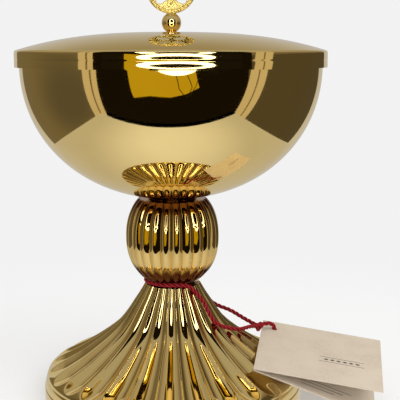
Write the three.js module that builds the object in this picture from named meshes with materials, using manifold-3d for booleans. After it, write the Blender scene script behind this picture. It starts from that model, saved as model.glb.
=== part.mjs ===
// A lidded ciborium: a fluted foot, a lobed knop and a wide cup drawn together by one tie rod,
// a lift-off lid with a cross medallion, and a folded paper tag on a red twisted cord.
// Millimetres, +Z up, origin at the centre of the foot's underside.

import * as THREE from 'three';
import { mergeVertices } from 'three/addons/utils/BufferGeometryUtils.js';
import Module from 'manifold-3d';

// Foot
const FOOT_RADIUS = 75.6;
const BASE_RING_HEIGHT = 8;
const BASE_RING_WIDTH = 4.6;
const BASE_RING_CHAMFER = 0.8;
const FOOT_GAP = 0.3;
const FOOT_TOP = 66.5;
const FOOT_WALL = 2.7;
const FOOT_PLATE = 2.5;
const FLUTES = 28;
const FLUTE_DEPTH = 2.4;
const FLUTE_START = 14;
const FLUTE_FULL = 27;
// radius and height of the ridges, from the shoulder up to the neck
const FLARE = [
  [75.2, BASE_RING_HEIGHT + FOOT_GAP],
  [74.3, 12.5],
  [71, 17],
  [52.8, 27],
  [32.8, 42],
  [21.1, 58],
  [16, FOOT_TOP],
];

// Stem
const NECK_RADIUS = 14;
const KNOP_RADIUS = 27;
const KNOP_HALF_HEIGHT = 29.6;
const KNOP_FULLNESS = 2.25;
const KNOP_CENTRE = 94.5;
const KNOP_BOTTOM = 70;
const KNOP_TOP = 116.4;
const KNOP_LOBES = 24;
const LOBE_DEPTH = 1.6;
const KNOP_WALL = 1.6;
const KNOP_PLATE = 2;
const ROD_RADIUS = 4;
const ROD_BOTTOM = 53;
const ROD_TOP = 113;
const ROD_HOLE = 4.5;
const NUT_FLATS = 13;
const NUT_HEIGHT = 6.5;
const WASHER_RADIUS = 10;
const WASHER_THICKNESS = 1.6;

// Cup
const CUP_RADIUS = 84.4;
const CUP_DEPTH = 75.75;
const CUP_WIDEST = 192.8;
const CUP_RIM = 198.8;
const CUP_WALL = 1.4;
const CUP_FULLNESS = 2.1;
const BEAD_WIDTH = 0.9;
const BEAD_HEIGHT = 3;
const BOSS_RADIUS = 9;
const BOSS_LENGTH = 12.9;
const COLLAR_THICKNESS = 0.8;

// Lid
const LID_RADIUS = 87;
const LID_APEX = 210.5;
const LID_FALL = 9.85;
const LID_DOME_POWER = 2.7;
const LID_CORNER = 1.4;
const LID_SKIRT_BOTTOM = 191.3;
const LID_WALL = 1.2;

// Finial
const BALL_RADIUS = 5.5;
const BALL_CENTRE = 215.6;
const SPOOL_RADIUS = 3.2;
const PEG_RADIUS = 1.4;
const PEG_HOLE = 1.8;
const PEG_BOTTOM = 203.6;
const MEDAL_RADIUS = 14;
const MEDAL_THICKNESS = 2.8;
const MEDAL_CENTRE = 234.6;
const OPENING_OFFSET = 7;
const OPENING_LENGTH = 8.6;
const OPENING_WIDTH = 5.4;
const FINIAL_NUT_FLATS = 7;
const FINIAL_NUT_HEIGHT = 2.6;
const FINIAL_WASHER_RADIUS = 4.6;
const FINIAL_WASHER_THICKNESS = 0.8;

// Tag and cord
const TAG_WIDTH = 72;
const TAG_HEIGHT = 58;
const TAG_THICKNESS = 0.5;
const TAG_CORNER = [45.26, -36.7, 26.4];
const TAG_TURN = [10.27, 7.82, -7.96];
const TAG_FOLD = 12.6;
const TAG_FOLD_DROP = 0.7;
const TAG_HOLE = [8, 49.4];
const COVER_HOLE_RADIUS = 1.7;
const BACK_HOLE_RADIUS = 2;
const CORD_RADIUS = 1.25;
const CORD_LOOP_STEPS = 68;
const CORD_TAIL_STEPS = 9;
const CORD_KNOT = [51, 5.2, 37.6];
const TAIL_KNOT = [59.6, 11.5, 28];
const KNOT_RADIUS = 2.4;

// once round the neck and back: the front strand first, then the neck, then the back strand
const CORD_LOOP = [
  [49.1, 2.6, 38.4],
  [45.2, -3.4, 40],
  [38.6, -11.6, 41.2],
  [30.6, -15.6, 43.6],
  [26.5, -17.9, 46.2],
  [23, -18, 49.5],
  [20.2, -16.1, 54.1],
  [17.7, -14.5, 58.7],
  [13.4, -14.1, 64.1],
  [9.2, -14.3, 67.5],
  [4, -15.2, 68.3],
  [-4, -15.2, 68.4],
  [-12.9, -8.9, 68.4],
  [-15.7, 0, 68.3],
  [-12.9, 8.9, 68.3],
  [-4, 15.2, 68.3],
  [4, 15.2, 68.2],
  [9.4, 14.8, 67.2],
  [12.8, 16, 63.4],
  [16.5, 17.5, 57.2],
  [20.8, 18.6, 51],
  [26.2, 18.4, 47],
  [34.6, 15.2, 44.4],
  [42.6, 10.6, 40.8],
  [48.6, 6.7, 38.5],
];

// from the knot over the tag's edge and down through its hole
const CORD_TAIL = [
  [53.8, 6.1, 38.5],
  [56.7, 7.2, 38.7],
  [59, 8.4, 37.9],
  [60.6, 9.5, 36],
  [61, 10.3, 33.5],
  [60.8, 10.5, 32.1],
  [60.4, 10.8, 30.8],
];

const SIDES = 48;
const SMALL_SIDES = 24;

const wasm = await Module();
wasm.setup();

const GOLD = { color: 0xd9b35a, metalness: 1, roughness: 0.12 };
const BRASS = { color: 0xb8934a, metalness: 1, roughness: 0.35 };
const STEEL = { color: 0x9a9c9e, metalness: 1, roughness: 0.4 };
const RED = { color: 0x8f1420, metalness: 0, roughness: 0.8 };
const PAPER = { color: 0xdccdb8, metalness: 0, roughness: 0.9 };

const ciborium = new THREE.Group();

function addPart(name, geometry, finish, parent = ciborium) {
  const mesh = new THREE.Mesh(geometry, new THREE.MeshStandardMaterial(finish));
  mesh.name = name;
  parent.add(mesh);
  return mesh;
}

// Joins coincident vertices and drops the triangles that closed up at a pole.
function weld(geometry) {
  const bare = new THREE.BufferGeometry();
  bare.setAttribute('position', geometry.getAttribute('position').clone());
  if (geometry.index) bare.setIndex(geometry.index.clone());
  const merged = mergeVertices(bare, 1e-4);
  const kept = [];
  for (let i = 0; i < merged.index.count; i += 3) {
    const [a, b, c] = [0, 1, 2].map((k) => merged.index.getX(i + k));
    if (a !== b && b !== c && c !== a) kept.push(a, b, c);
  }
  merged.setIndex(kept);
  merged.computeVertexNormals();
  return merged;
}

function signedVolume(geometry) {
  const position = geometry.getAttribute('position');
  const corner = [new THREE.Vector3(), new THREE.Vector3(), new THREE.Vector3()];
  let volume = 0;
  for (let i = 0; i < geometry.index.count; i += 3) {
    corner.forEach((point, k) => point.fromBufferAttribute(position, geometry.index.getX(i + k)));
    volume += corner[0].dot(corner[1].clone().cross(corner[2])) / 6;
  }
  return volume;
}

function facingOut(geometry) {
  const closed = weld(geometry);
  if (signedVolume(closed) < 0) {
    closed.setIndex(Array.from(closed.index.array).reverse());
    closed.computeVertexNormals();
  }
  return closed;
}

// Turns an outline of [radius, height] points about the Z axis.
function revolve(outline, sides = SIDES) {
  const points = outline.map(([radius, height]) => new THREE.Vector2(radius, height));
  return facingOut(new THREE.LatheGeometry(points, sides).rotateX(Math.PI / 2));
}

function ring(inner, outer, bottom, top, sides = SMALL_SIDES) {
  return revolve([[inner, bottom], [outer, bottom], [outer, top], [inner, top], [inner, bottom]], sides);
}

function rod(radius, bottom, top, sides = SMALL_SIDES) {
  return revolve([[0, bottom], [radius, bottom], [radius, top], [0, top]], sides);
}

function hexNut(flats, hole, bottom, height) {
  const corner = flats / 2 / Math.cos(Math.PI / 6);
  return cut(rod(corner, bottom, bottom + height, 6), rod(hole, bottom - 1, bottom + height + 1, 16));
}

// Points on an arc of a circle or ellipse: angles in degrees, 0 along +radius and 90 along +height.
function arc(centreRadius, centreHeight, radiusAxis, heightAxis, from, to, steps) {
  return Array.from({ length: steps + 1 }, (_, i) => {
    const angle = THREE.MathUtils.degToRad(from + ((to - from) * i) / steps);
    return [
      Math.max(0, centreRadius + radiusAxis * Math.cos(angle)),
      centreHeight + heightAxis * Math.sin(angle),
    ];
  });
}

function toManifold(geometry) {
  const closed = facingOut(geometry);
  return new wasm.Manifold(new wasm.Mesh({
    numProp: 3,
    vertProperties: new Float32Array(closed.getAttribute('position').array),
    triVerts: new Uint32Array(closed.index.array),
  }));
}

function fromManifold(manifold) {
  const mesh = manifold.getMesh();
  const geometry = new THREE.BufferGeometry();
  geometry.setAttribute('position', new THREE.BufferAttribute(new Float32Array(mesh.vertProperties), 3));
  geometry.setIndex(Array.from(mesh.triVerts));
  geometry.computeVertexNormals();
  return geometry;
}

function cut(geometry, ...tools) {
  return fromManifold(tools.reduce((body, tool) => body.subtract(toManifold(tool)), toManifold(geometry)));
}

function join(first, second) {
  return fromManifold(toManifold(first).add(toManifold(second)));
}

// Moves each point of a turned shape in towards the axis, by depth(height) times wave(phase),
// where the phase runs from 0 to 1 across each of the equal lobes.
function ripple(geometry, lobes, depth, wave) {
  const position = geometry.getAttribute('position');
  for (let i = 0; i < position.count; i += 1) {
    const radius = Math.hypot(position.getX(i), position.getY(i));
    const turn = Math.atan2(position.getY(i), position.getX(i)) / (2 * Math.PI);
    const inset = depth(position.getZ(i)) * wave((turn * lobes + lobes) % 1);
    const scale = radius > inset ? (radius - inset) / radius : 1;
    position.setXY(i, position.getX(i) * scale, position.getY(i) * scale);
  }
  geometry.computeVertexNormals();
  return geometry;
}

// ---------------------------------------------------------------- foot

function baseRing() {
  const inner = FOOT_RADIUS - BASE_RING_WIDTH;
  return revolve([
    [inner, 0],
    [FOOT_RADIUS - BASE_RING_CHAMFER, 0],
    [FOOT_RADIUS, BASE_RING_CHAMFER],
    [FOOT_RADIUS, BASE_RING_HEIGHT - BASE_RING_CHAMFER],
    [FOOT_RADIUS - BASE_RING_CHAMFER, BASE_RING_HEIGHT],
    [inner, BASE_RING_HEIGHT],
    [inner, 0],
  ]);
}

function fluteDepth(height) {
  const opening = THREE.MathUtils.smoothstep(height, FLUTE_START, FLUTE_FULL);
  const closing = THREE.MathUtils.mapLinear(height, FLUTE_FULL, FOOT_TOP, 1, 0.45);
  return FLUTE_DEPTH * opening * Math.min(1, closing);
}

function footShell() {
  const steps = 9;
  const flare = new THREE.SplineCurve(FLARE.map(([radius, height]) => new THREE.Vector2(radius, height)));
  const ridge = flare.getPoints(steps).map((point) => [point.x, point.y]);
  const outside = revolve([[0, ridge[0][1]], ...ridge, [0, FOOT_TOP]], FLUTES * 4);
  ripple(outside, FLUTES, fluteDepth, (phase) => Math.abs(Math.cos(Math.PI * phase)));
  const ceiling = FOOT_TOP - FOOT_PLATE;
  const under = ridge
    .filter(([, height]) => height < ceiling - 1)
    .map(([radius, height]) => [radius - fluteDepth(height) - FOOT_WALL, height]);
  const mouth = under[0][0];
  const neck = under[under.length - 1][0] - 1.5;
  const hollow = revolve([[0, 0], [mouth, 0], ...under, [neck, ceiling], [0, ceiling]]);
  return cut(outside, hollow, rod(ROD_HOLE, ceiling - 1, FOOT_TOP + 1));
}

addPart('base_ring', baseRing(), GOLD);
addPart('foot_shell', footShell(), GOLD);

const plateUnderside = FOOT_TOP - FOOT_PLATE;
const washerBottom = plateUnderside - WASHER_THICKNESS;
addPart('rod_washer', ring(ROD_HOLE, WASHER_RADIUS, washerBottom, plateUnderside), STEEL);
addPart('rod_nut', hexNut(NUT_FLATS, ROD_RADIUS + 0.3, washerBottom - NUT_HEIGHT, NUT_HEIGHT), STEEL);

// ---------------------------------------------------------------- stem

// The knop's outline is a superellipse, a little fuller than an ellipse.
function knopRadius(height) {
  const share = Math.abs(height - KNOP_CENTRE) / KNOP_HALF_HEIGHT;
  return KNOP_RADIUS * (1 - share ** KNOP_FULLNESS) ** (1 / KNOP_FULLNESS);
}

function knop() {
  const steps = 8;
  const heights = Array.from({ length: steps + 1 }, (_, i) => {
    const swing = (1 - Math.cos((Math.PI * i) / steps)) / 2;
    return KNOP_BOTTOM + (KNOP_TOP - KNOP_BOTTOM) * swing;
  });
  const crest = heights.map((height) => [knopRadius(height), height]);
  const outside = revolve([[0, KNOP_BOTTOM], ...crest, [0, KNOP_TOP]], KNOP_LOBES * 4);
  ripple(outside, KNOP_LOBES, () => LOBE_DEPTH, (phase) => 1 - Math.abs(Math.cos(Math.PI * phase)));
  const floor = KNOP_BOTTOM + KNOP_PLATE;
  const ceiling = KNOP_TOP - KNOP_PLATE;
  const inside = Array.from({ length: 8 }, (_, i) => {
    const height = floor + ((ceiling - floor) * i) / 7;
    return [knopRadius(height) - LOBE_DEPTH - KNOP_WALL, height];
  });
  const hollow = revolve([[0, floor], ...inside, [0, ceiling]], SMALL_SIDES);
  const rodHole = rod(ROD_HOLE, KNOP_BOTTOM - 1, floor + 1);
  const bossHole = rod(BOSS_RADIUS + 0.4, ceiling - 1, KNOP_TOP + 1);
  return cut(outside, hollow, rodHole, bossHole);
}

addPart('tie_rod', rod(ROD_RADIUS, ROD_BOTTOM, ROD_TOP), STEEL);
addPart('neck_ring', ring(ROD_HOLE, NECK_RADIUS, FOOT_TOP, KNOP_BOTTOM, SIDES), GOLD);
addPart('knop', knop(), GOLD);
const collarTop = KNOP_TOP + COLLAR_THICKNESS;
addPart('knop_collar', ring(BOSS_RADIUS + 0.4, NECK_RADIUS, KNOP_TOP, collarTop, SIDES), GOLD);

// ---------------------------------------------------------------- cup

// A bowl's profile from the axis out to its widest: a superellipse, fuller than an ellipse.
function bowl(radius, depth, steps) {
  const power = 2 / CUP_FULLNESS;
  return Array.from({ length: steps + 1 }, (_, i) => {
    const angle = (i / steps) * (Math.PI / 2);
    const across = radius * Math.sin(angle) ** power;
    const down = depth * Math.max(0, Math.cos(angle)) ** power;
    return [across, CUP_WIDEST - down];
  });
}

function cupShell() {
  const innerRadius = CUP_RADIUS - CUP_WALL;
  const innerDepth = CUP_DEPTH - CUP_WALL;
  return revolve([
    ...bowl(CUP_RADIUS, CUP_DEPTH, 10),
    [CUP_RADIUS, CUP_RIM],
    [innerRadius, CUP_RIM],
    ...bowl(innerRadius, innerDepth, 8).reverse(),
  ]);
}

function cupBead() {
  const inner = CUP_RADIUS + 0.3;
  const middle = CUP_RIM - 0.6 - BEAD_HEIGHT / 2;
  const half = BEAD_HEIGHT / 2;
  const outline = arc(inner, middle, BEAD_WIDTH, half, -90, 90, 4);
  return revolve([...outline, outline[0]]);
}

function cupBoss() {
  const top = CUP_WIDEST - CUP_DEPTH - 0.15;
  const body = rod(BOSS_RADIUS, top - BOSS_LENGTH, top);
  return cut(body, rod(ROD_RADIUS + 0.3, top - BOSS_LENGTH - 1, top - 2));
}

addPart('cup_shell', cupShell(), GOLD);
addPart('cup_bead', cupBead(), GOLD);
addPart('cup_boss', cupBoss(), BRASS);

// ---------------------------------------------------------------- lid and finial

// The dome's profile from the axis out to a radius: nearly level in the middle, steeper outside.
function dome(apex, radius, steps) {
  return Array.from({ length: steps + 1 }, (_, i) => {
    const reach = radius * (i / steps) ** 0.7;
    return [reach, apex - LID_FALL * (reach / (LID_RADIUS - LID_CORNER)) ** LID_DOME_POWER];
  });
}

function lidShell() {
  const shoulder = LID_RADIUS - LID_CORNER;
  const edge = LID_APEX - LID_FALL;
  const innerWall = LID_RADIUS - LID_WALL;
  return revolve([
    ...dome(LID_APEX, shoulder, 6),
    [LID_RADIUS - 0.4, edge - 0.45],
    [LID_RADIUS, edge - LID_CORNER],
    [LID_RADIUS, LID_SKIRT_BOTTOM],
    [innerWall, LID_SKIRT_BOTTOM],
    [innerWall, edge - LID_CORNER],
    ...dome(LID_APEX - LID_WALL, shoulder - LID_WALL, 6).reverse(),
  ]);
}

function finialBall() {
  const flat = Math.sqrt(BALL_RADIUS ** 2 - SPOOL_RADIUS ** 2);
  const tilt = THREE.MathUtils.radToDeg(Math.asin(flat / BALL_RADIUS));
  const round = arc(0, BALL_CENTRE, BALL_RADIUS, BALL_RADIUS, -tilt, tilt, 8);
  const bottom = [PEG_HOLE, BALL_CENTRE - flat];
  return revolve([bottom, ...round, [PEG_HOLE, BALL_CENTRE + flat], bottom], SMALL_SIDES);
}

function crossMedallion() {
  const disc = new THREE.Shape().absarc(0, 0, MEDAL_RADIUS, 0, 2 * Math.PI);
  for (let quarter = 0; quarter < 4; quarter += 1) {
    const angle = Math.PI / 4 + (quarter * Math.PI) / 2;
    const x = OPENING_OFFSET * Math.cos(angle);
    const y = OPENING_OFFSET * Math.sin(angle);
    const opening = new THREE.Path();
    opening.absellipse(x, y, OPENING_LENGTH / 2, OPENING_WIDTH / 2, 0, 2 * Math.PI, true, angle);
    disc.holes.push(opening);
  }
  const plate = new THREE.ExtrudeGeometry(disc, {
    depth: MEDAL_THICKNESS,
    bevelEnabled: false,
    curveSegments: 8,
  });
  plate.translate(0, 0, -MEDAL_THICKNESS / 2).rotateX(Math.PI / 2).translate(0, 0, MEDAL_CENTRE);
  const peg = rod(PEG_RADIUS, PEG_BOTTOM, MEDAL_CENTRE - MEDAL_RADIUS + 1.5, 12);
  return join(plate, peg);
}

const lid = new THREE.Group();
ciborium.add(lid);
const pegHole = rod(PEG_HOLE, LID_APEX - 5, LID_APEX + 5, 16);
addPart('lid_shell', cut(lidShell(), pegHole), GOLD, lid);
const spoolTop = BALL_CENTRE - Math.sqrt(BALL_RADIUS ** 2 - SPOOL_RADIUS ** 2);
addPart('finial_spool', ring(PEG_HOLE, SPOOL_RADIUS, LID_APEX + 0.05, spoolTop), GOLD, lid);
addPart('finial_ball', finialBall(), GOLD, lid);
addPart('cross_medallion', crossMedallion(), GOLD, lid);
const lidUnderside = LID_APEX - LID_WALL - 0.2;
const lidWasherBottom = lidUnderside - FINIAL_WASHER_THICKNESS;
addPart('finial_washer', ring(PEG_HOLE, FINIAL_WASHER_RADIUS, lidWasherBottom, lidUnderside), BRASS, lid);
const finialNutBottom = lidWasherBottom - FINIAL_NUT_HEIGHT;
addPart('finial_nut', hexNut(FINIAL_NUT_FLATS, PEG_HOLE, finialNutBottom, FINIAL_NUT_HEIGHT), BRASS, lid);

// ---------------------------------------------------------------- tag and cord

function tagLeaf(holeRadius) {
  const inset = 0.3;
  const leaf = new THREE.Shape();
  leaf.moveTo(inset, 0).lineTo(TAG_WIDTH, 0).lineTo(TAG_WIDTH, TAG_HEIGHT).lineTo(inset, TAG_HEIGHT);
  leaf.closePath();
  leaf.holes.push(new THREE.Path().absarc(TAG_HOLE[0], TAG_HOLE[1], holeRadius, 0, 2 * Math.PI, true));
  const sheet = new THREE.ExtrudeGeometry(leaf, {
    depth: TAG_THICKNESS,
    bevelEnabled: false,
    curveSegments: 6,
  });
  return facingOut(sheet.translate(0, 0, -TAG_THICKNESS / 2));
}

function cordTube(points, steps) {
  const section = new THREE.Shape();
  for (let side = 0; side < 8; side += 1) {
    const angle = (side * Math.PI) / 4;
    const x = CORD_RADIUS * Math.cos(angle);
    const y = CORD_RADIUS * Math.sin(angle);
    if (side === 0) section.moveTo(x, y);
    else section.lineTo(x, y);
  }
  section.closePath();
  const route = new THREE.CatmullRomCurve3(points.map((point) => new THREE.Vector3(...point)));
  return facingOut(new THREE.ExtrudeGeometry(section, { steps, bevelEnabled: false, extrudePath: route }));
}

function cordKnot(centre) {
  const ball = revolve(arc(0, 0, KNOT_RADIUS, KNOT_RADIUS, -90, 90, 6), 10);
  return ball.translate(...centre);
}

addPart('cord_loop', cordTube(CORD_LOOP, CORD_LOOP_STEPS), RED);
addPart('cord_knot', cordKnot(CORD_KNOT), RED);
addPart('cord_tail', cordTube(CORD_TAIL, CORD_TAIL_STEPS), RED);
addPart('tail_knot', cordKnot(TAIL_KNOT), RED);

const tag = new THREE.Group();
tag.position.set(...TAG_CORNER);
tag.rotation.set(...TAG_TURN.map(THREE.MathUtils.degToRad), 'ZYX');
ciborium.add(tag);
addPart('tag_cover', tagLeaf(COVER_HOLE_RADIUS), PAPER, tag);

const lowerLeaf = new THREE.Group();
lowerLeaf.position.z = -TAG_FOLD_DROP;
lowerLeaf.rotation.y = THREE.MathUtils.degToRad(TAG_FOLD);
tag.add(lowerLeaf);
addPart('tag_back', tagLeaf(BACK_HOLE_RADIUS), PAPER, lowerLeaf);

export default ciborium;
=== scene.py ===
"""Looks of a lidded ciborium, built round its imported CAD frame. Metres, +Z up, in the frame's own axes."""

import math

import bpy
from mathutils import Euler, Matrix, Vector


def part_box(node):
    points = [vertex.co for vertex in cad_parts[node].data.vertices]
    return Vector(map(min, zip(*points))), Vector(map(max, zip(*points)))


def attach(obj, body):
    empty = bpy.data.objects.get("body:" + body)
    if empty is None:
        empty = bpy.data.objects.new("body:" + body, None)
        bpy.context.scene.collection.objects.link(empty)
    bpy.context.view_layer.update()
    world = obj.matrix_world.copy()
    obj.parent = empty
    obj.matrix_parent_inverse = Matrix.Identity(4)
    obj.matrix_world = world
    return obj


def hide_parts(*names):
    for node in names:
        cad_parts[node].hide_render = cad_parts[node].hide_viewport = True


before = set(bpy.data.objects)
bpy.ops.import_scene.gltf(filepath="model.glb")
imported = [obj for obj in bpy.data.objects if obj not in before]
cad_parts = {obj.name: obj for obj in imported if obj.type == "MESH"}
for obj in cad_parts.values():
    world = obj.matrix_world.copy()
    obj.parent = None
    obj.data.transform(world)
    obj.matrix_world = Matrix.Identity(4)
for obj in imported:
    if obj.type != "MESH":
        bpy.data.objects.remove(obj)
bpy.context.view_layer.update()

# ---------------------------------------------------------------- sizes

# Camera
CAMERA_PLACE = (0.01597, -0.4988, 0.2002)
CAMERA_PITCH = 9.68
CAMERA_LENS = 78.75

# Foot, as in the CAD model: radius and height of the ridges
FLARE = [
    (0.0752, 0.0083),
    (0.0743, 0.0125),
    (0.0710, 0.0170),
    (0.0528, 0.0270),
    (0.0328, 0.0420),
    (0.0211, 0.0580),
    (0.0160, 0.0665),
]
FLUTES = 28
FLUTE_SHARE = 0.94
FLUTE_DEPTH_TO_WIDTH = 0.19
FLUTE_END_RADIUS = 0.0735
SCOOP_LENGTH = 0.011
RIDGE_ROUNDING = 0.00012
FOOT_WALL = 0.0018
FOOT_PLATE = 0.0025

# Stem
KNOP_LOBES = 24
LOBE_DEPTH = 0.0016
KNOP_RADIUS = 0.027
KNOP_HALF_HEIGHT = 0.0296
KNOP_FULLNESS = 2.25
KNOP_CENTRE = 0.0945
KNOP_WALL = 0.0016
KNOP_PLATE = 0.002
ROD_HOLE = 0.0045
NECK_WAIST = 0.0006
# Painted shade on the stem: the plate is painted browner by the neck and under the cup, for dark reflections
# and shade there; colours, then the heights where it fades
NECK_PAINTED_SHADE = (0.12, 0.05, 0.045)
NECK_PAINTED_SHADE_HEIGHTS = (0.0742, 0.0782)
CUP_PAINTED_SHADE = (0.22, 0.11, 0.07)
CUP_PAINTED_SHADE_HEIGHTS = (0.106, 0.116)
BOSS_HOLE = 0.0094

# Cup and lid
CUP_LIP = 0.006
CUP_WALL = 0.0014
CUP_FULLNESS = 2.1
LID_REACH = 0.0856
LID_FALL = 0.00985
LID_DOME_POWER = 2.7
LID_WALL = 0.0012
LID_CORNER = 0.0014
LID_CORNER_END = 72.7
SKIRT_CREASE = 0.19545
SKIRT_LEAN_OUT = 1.4
SKIRT_LEAN_IN = 3.35
PEG_HOLE = 0.0018

# Finial
MEDAL_RADIUS = 0.014
MEDAL_THICKNESS = 0.0028

# Tag, as in the CAD model
TAG_WIDTH = 0.072
TAG_HEIGHT = 0.058
TAG_THICKNESS = 0.0005
TAG_CORNER = (0.04526, -0.0367, 0.0264)
TAG_TURN = (10.27, 7.82, -7.96)
TAG_FOLD = 12.6
TAG_FOLD_DROP = 0.0007
TAG_HOLE = (0.008, 0.0494)
COVER_HOLE_RADIUS = 0.0017
BACK_HOLE_RADIUS = 0.002
INK_FILM = 0.00003
INK_BITE = 0.00001

# Cord: the CAD model's route, from the knot under the tag to the knot that closes the loop
CORD_DIAMETER = 0.0025
CORD_PITCH = 0.0092
CORD_STRANDS = 3
STRAND_SHARE = 0.235
CORD_KNOT = (0.051, 0.0052, 0.0376)
TAIL_KNOT = (0.0596, 0.0115, 0.028)
JOIN_KNOT_SIZE = 0.00092
END_KNOT_SIZE = 0.00082
CORD_ROUTE = [
    (0.0598, 0.0113, 0.0288),
    (0.0604, 0.0108, 0.0308),
    (0.0608, 0.0105, 0.0321),
    (0.0610, 0.0103, 0.0335),
    (0.0606, 0.0095, 0.0360),
    (0.0590, 0.0084, 0.0379),
    (0.0567, 0.0072, 0.0387),
    (0.0538, 0.0061, 0.0385),
    (0.0513, 0.0045, 0.0384),
    (0.0491, 0.0026, 0.0384),
    (0.0452, -0.0034, 0.0400),
    (0.0386, -0.0116, 0.0412),
    (0.0306, -0.0156, 0.0436),
    (0.0265, -0.0179, 0.0462),
    (0.0230, -0.0180, 0.0495),
    (0.0202, -0.0161, 0.0541),
    (0.0177, -0.0145, 0.0587),
    (0.0134, -0.0141, 0.0641),
    (0.0092, -0.0143, 0.0675),
    (0.0040, -0.0152, 0.0683),
    (-0.0040, -0.0152, 0.0684),
    (-0.0129, -0.0089, 0.0684),
    (-0.0157, 0.0, 0.0683),
    (-0.0129, 0.0089, 0.0683),
    (-0.0040, 0.0152, 0.0683),
    (0.0040, 0.0152, 0.0682),
    (0.0094, 0.0148, 0.0672),
    (0.0128, 0.0160, 0.0634),
    (0.0165, 0.0175, 0.0572),
    (0.0208, 0.0186, 0.0510),
    (0.0262, 0.0184, 0.0470),
    (0.0346, 0.0152, 0.0444),
    (0.0426, 0.0106, 0.0408),
    (0.0486, 0.0067, 0.0385),
    (0.0506, 0.0056, 0.0378),
]

# Soft boxes: name, place, size and power in watts
SOFT_BOXES = [
    ("key_light", (0.7, -0.5, 1.0), 0.8, 5.0),
    ("fill_light", (-0.5, -0.2, 1.1), 0.9, 1.5),
    ("front_light", (0.15, -0.9, 0.3), 0.5, 2.5),
]

# Light tent round the object, seen only in its reflections
TENT_LEFT = -0.262
TENT_RIGHT = 0.248
TENT_FRONT = -0.215
TENT_BACK = 0.23
TENT_TOP = 0.42
TENT_BRIGHTER = 0.21
OPENING_LEFT = -0.222
ROOM_DEPTH = -0.6
WOOD = [
    (-0.320, 0.147),
    (-0.300, -0.017),
    (-0.285, -0.075),
    (-0.147, -0.044),
    (0.011, -0.053),
    (0.128, -0.026),
    (0.229, 0.024),
    (0.208, 0.091),
    (0.192, 0.159),
    (0.02, 0.176),
    (-0.13, 0.178),
    (-0.21, 0.24),
    (-0.33, 0.25),
]
CABLE_RADIUS = 0.003
WOOD_LEFT = [(-0.33, 0.159), (-0.13, 0.159), (-0.21, 0.24), (-0.33, 0.25)]
SHELF = (0.159, 0.2545)
RING = (0.06, 0.436, 0.31, 0.31)
RING_INSIDE = (0.06, 0.436, 0.225, 0.225)
LOW_RING = (0.06, 0.2063, 0.288, 0.0427)
LOW_RING_INSIDE = (0.06, 0.1997, 0.195, 0.0233)
CABLES = [
    [(0.040, 0.17), (0.049, 0.138), (0.063, 0.076), (0.072, 0.023), (0.098, -0.017), (0.112, -0.042)],
    [(0.120, 0.16), (0.133, 0.123), (0.156, 0.073), (0.170, 0.029), (0.152, -0.016), (0.129, -0.059)],
    [(0.215, 0.10), (0.200, 0.04), (0.172, -0.01), (0.160, -0.05)],
]

# ---------------------------------------------------------------- mesh helpers


def lerp(a, b, share):
    return a + (b - a) * share


def arc(centre, radii, start, end, steps):
    """Points (radius, height) on an arc of an ellipse; angles in degrees, 0 out along the radius, 90 up."""
    points = []
    for i in range(steps + 1):
        angle = math.radians(lerp(start, end, i / steps))
        reach = max(0.0, centre[0] + radii[0] * math.cos(angle))
        points.append((reach, centre[1] + radii[1] * math.sin(angle)))
    return points


def spline(points, steps):
    """A Catmull-Rom curve through points of any dimension, in steps pieces between each two."""
    points = [Vector(p) for p in points]
    ends = [points[0], *points, points[-1]]
    curve = []
    for a, b, c, d in zip(ends, ends[1:], ends[2:], ends[3:]):
        for i in range(steps):
            t = i / steps
            bend = (2 * a - 5 * b + 4 * c - d) * t**2 + (3 * b - a - 3 * c + d) * t**3
            curve.append(0.5 * (2 * b + (c - a) * t + bend))
    return [*curve, points[-1]]


def object_from(name, mesh):
    piece = bpy.data.objects.new(name, mesh)
    bpy.context.scene.collection.objects.link(piece)
    return piece


def skin(name, points, faces, material, crease=40):
    """A smooth-shaded mesh object whose edges sharper than crease degrees stay sharp."""
    mesh = bpy.data.meshes.new(name)
    mesh.from_pydata(points, [], faces)
    mesh.validate()
    mesh.shade_smooth()
    mesh.set_sharp_from_angle(angle=math.radians(crease))
    mesh.materials.append(material)
    return object_from(name, mesh)


def even_angles(sides):
    return [2 * math.pi * i / sides for i in range(sides)]


def ridged_angles(lobes, steps, gather):
    """Angles that crowd towards the edges of each lobe, where a ridge or a valley runs."""
    angles = []
    for lobe in range(lobes):
        for i in range(steps):
            share = i / steps
            phase = share - gather * math.sin(2 * math.pi * share) / (2 * math.pi)
            angles.append(2 * math.pi * (lobe + phase) / lobes)
    return angles


def turn(outline, angles, shape=None):
    """Vertices and faces of an outline of (radius, height) turned about Z.

    The outline runs so that the material is on its left, and closes on itself or starts and ends
    on the axis. shape(index, angle) may give another (radius, height) for a point.
    """
    points = []
    rows = []
    for index, (radius, height) in enumerate(outline):
        if radius < 1e-9:
            rows.append([len(points)] * len(angles))
            points.append((0.0, 0.0, height))
            continue
        rows.append(list(range(len(points), len(points) + len(angles))))
        for angle in angles:
            r, z = shape(index, angle) if shape else (radius, height)
            points.append((r * math.cos(angle), r * math.sin(angle), z))
    on_axis = outline[0][0] < 1e-9 and outline[-1][0] < 1e-9
    pairs = list(zip(rows, rows[1:]))
    if not on_axis:
        pairs.append((rows[-1], rows[0]))
    faces = []
    for low, high in pairs:
        for i in range(len(angles)):
            j = (i + 1) % len(angles)
            corners = [low[i], low[j], high[j], high[i]]
            kept = [c for k, c in enumerate(corners) if c != corners[k - 1]]
            if len(kept) > 2:
                faces.append(kept)
    return points, faces


def turned(name, outline, material, sides=256, crease=40):
    points, faces = turn(outline, even_angles(sides))
    return skin(name, points, faces, material, crease)


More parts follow.
